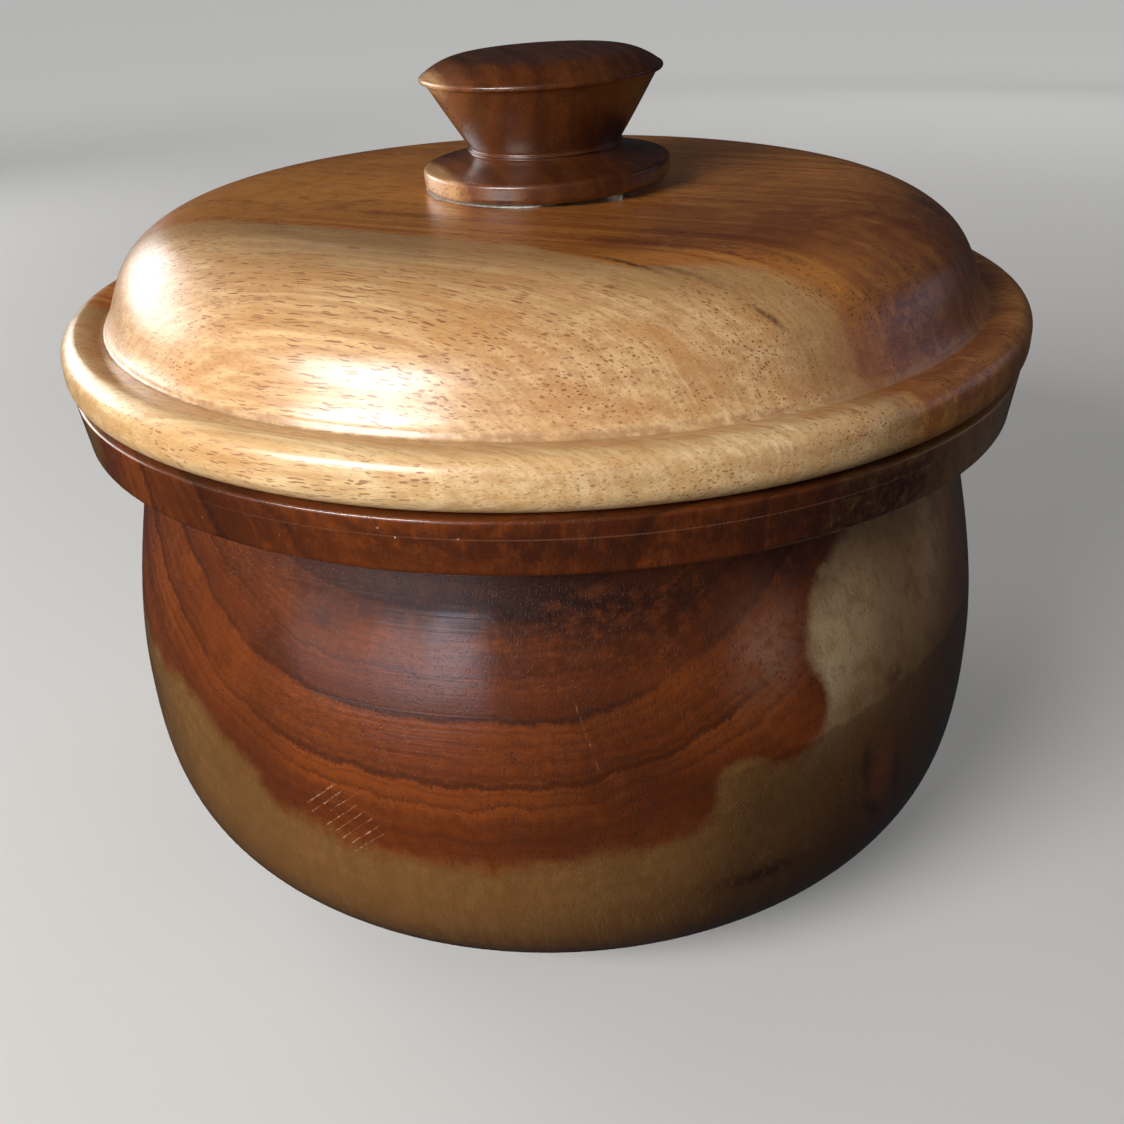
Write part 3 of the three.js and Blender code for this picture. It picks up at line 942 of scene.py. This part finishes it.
# fades each light out before its own plane, so none leaves an edge on the floor
LIGHT_SPREAD = math.radians(135)


def soft_box(name, toward, distance, size, power, colour, target=(0, 0, 0.06)):
    data = bpy.data.lights.new(name, "AREA")
    data.shape = "ELLIPSE"
    data.size, data.size_y = size
    data.energy = power
    data.color = colour
    data.spread = LIGHT_SPREAD
    light = bpy.data.objects.new(name, data)
    direction = Vector(toward).normalized()
    light.location = Vector(target) + direction * distance
    light.rotation_mode = "QUATERNION"
    light.rotation_quaternion = direction.to_track_quat("Z", "Y")
    bpy.context.scene.collection.objects.link(light)
    return light


floor_plane()
soft_box("key_window", (-0.64, -0.66, 0.46), 0.75, (0.46, 0.23), 3.2, (1.0, 0.98, 0.96))
soft_box("side_window", (-0.84, 0.54, 0.29), 0.80, (0.70, 0.32), 1.35, (1.0, 0.98, 0.97))
soft_box("cool_fill", (0.92, 0.12, 0.24), 0.9, (0.8, 0.30), 0.10, (0.76, 0.70, 1.0))
# room light that doesn't show in the lacquer
for fill_name, toward, size, power in (
    ("front_fill", (-0.05, -0.96, 0.27), (1.2, 0.9), 0.90),
    ("low_fill", (-0.90, -0.43, 0.04), (0.9, 0.25), 1.8),
    ("right_fill", (0.85, -0.50, 0.45), (0.8, 0.6), 0.34),
    ("back_fill", (0.40, 0.85, 0.40), (1.1, 0.8), 1.10),
):
    fill = soft_box(fill_name, toward, 1.0, size, power, (1.0, 0.97, 0.93))
    fill.visible_glossy = False
# three low ovals that only show as a sheen on the belly
SHEEN_TONE = (0.72, 0.83, 1.0)
for sheen_name, toward, size, power in (
    ("wide_sheen", (-0.71, -0.70, -0.150), (0.56, 0.10), 0.08),
    ("middle_sheen", (-0.50, -0.86, -0.100), (0.34, 0.09), 0.080),
    ("near_sheen", (-0.40, -0.91, -0.065), (0.15, 0.06), 0.045),
):
    sheen = soft_box(sheen_name, toward, 0.70, size, power, SHEEN_TONE, (0, 0, 0.05))
    sheen.visible_diffuse = False

world = bpy.data.worlds.new("studio")
world.use_nodes = True
world.node_tree.nodes["Background"].inputs["Color"].default_value = (0.80, 0.86, 1.0, 1)
world.node_tree.nodes["Background"].inputs["Strength"].default_value = 0.02
bpy.context.scene.world = world
bpy.context.scene.view_settings.view_transform = "Standard"

CAMERA_PLACE = Vector((0.0, -0.1951, 0.1437))
CAMERA_PITCH = 0.4877
CAMERA_YAW = -0.0059
CAMERA_ROLL = -0.03345
CAMERA_LENS = 38.43


def make_camera():
    data = bpy.data.cameras.new("camera")
    data.sensor_width = 36.0
    data.lens = CAMERA_LENS
    data.clip_start = 0.01
    data.clip_end = 50.0
    camera = bpy.data.objects.new("camera", data)
    spin = Matrix.Rotation(CAMERA_YAW, 3, "Z")
    ahead = spin @ Vector((0, math.cos(CAMERA_PITCH), -math.sin(CAMERA_PITCH)))
    up = spin @ Vector((0, math.sin(CAMERA_PITCH), math.cos(CAMERA_PITCH)))
    right = spin @ Vector((1, 0, 0))
    c, n = math.cos(CAMERA_ROLL), math.sin(CAMERA_ROLL)
    rolled_right = c * right + n * up
    rolled_up = -n * right + c * up
    axes = Matrix((rolled_right, rolled_up, -ahead)).transposed()
    camera.matrix_world = Matrix.Translation(CAMERA_PLACE) @ axes.to_4x4()
    bpy.context.scene.collection.objects.link(camera)
    bpy.context.scene.camera = camera


make_camera()
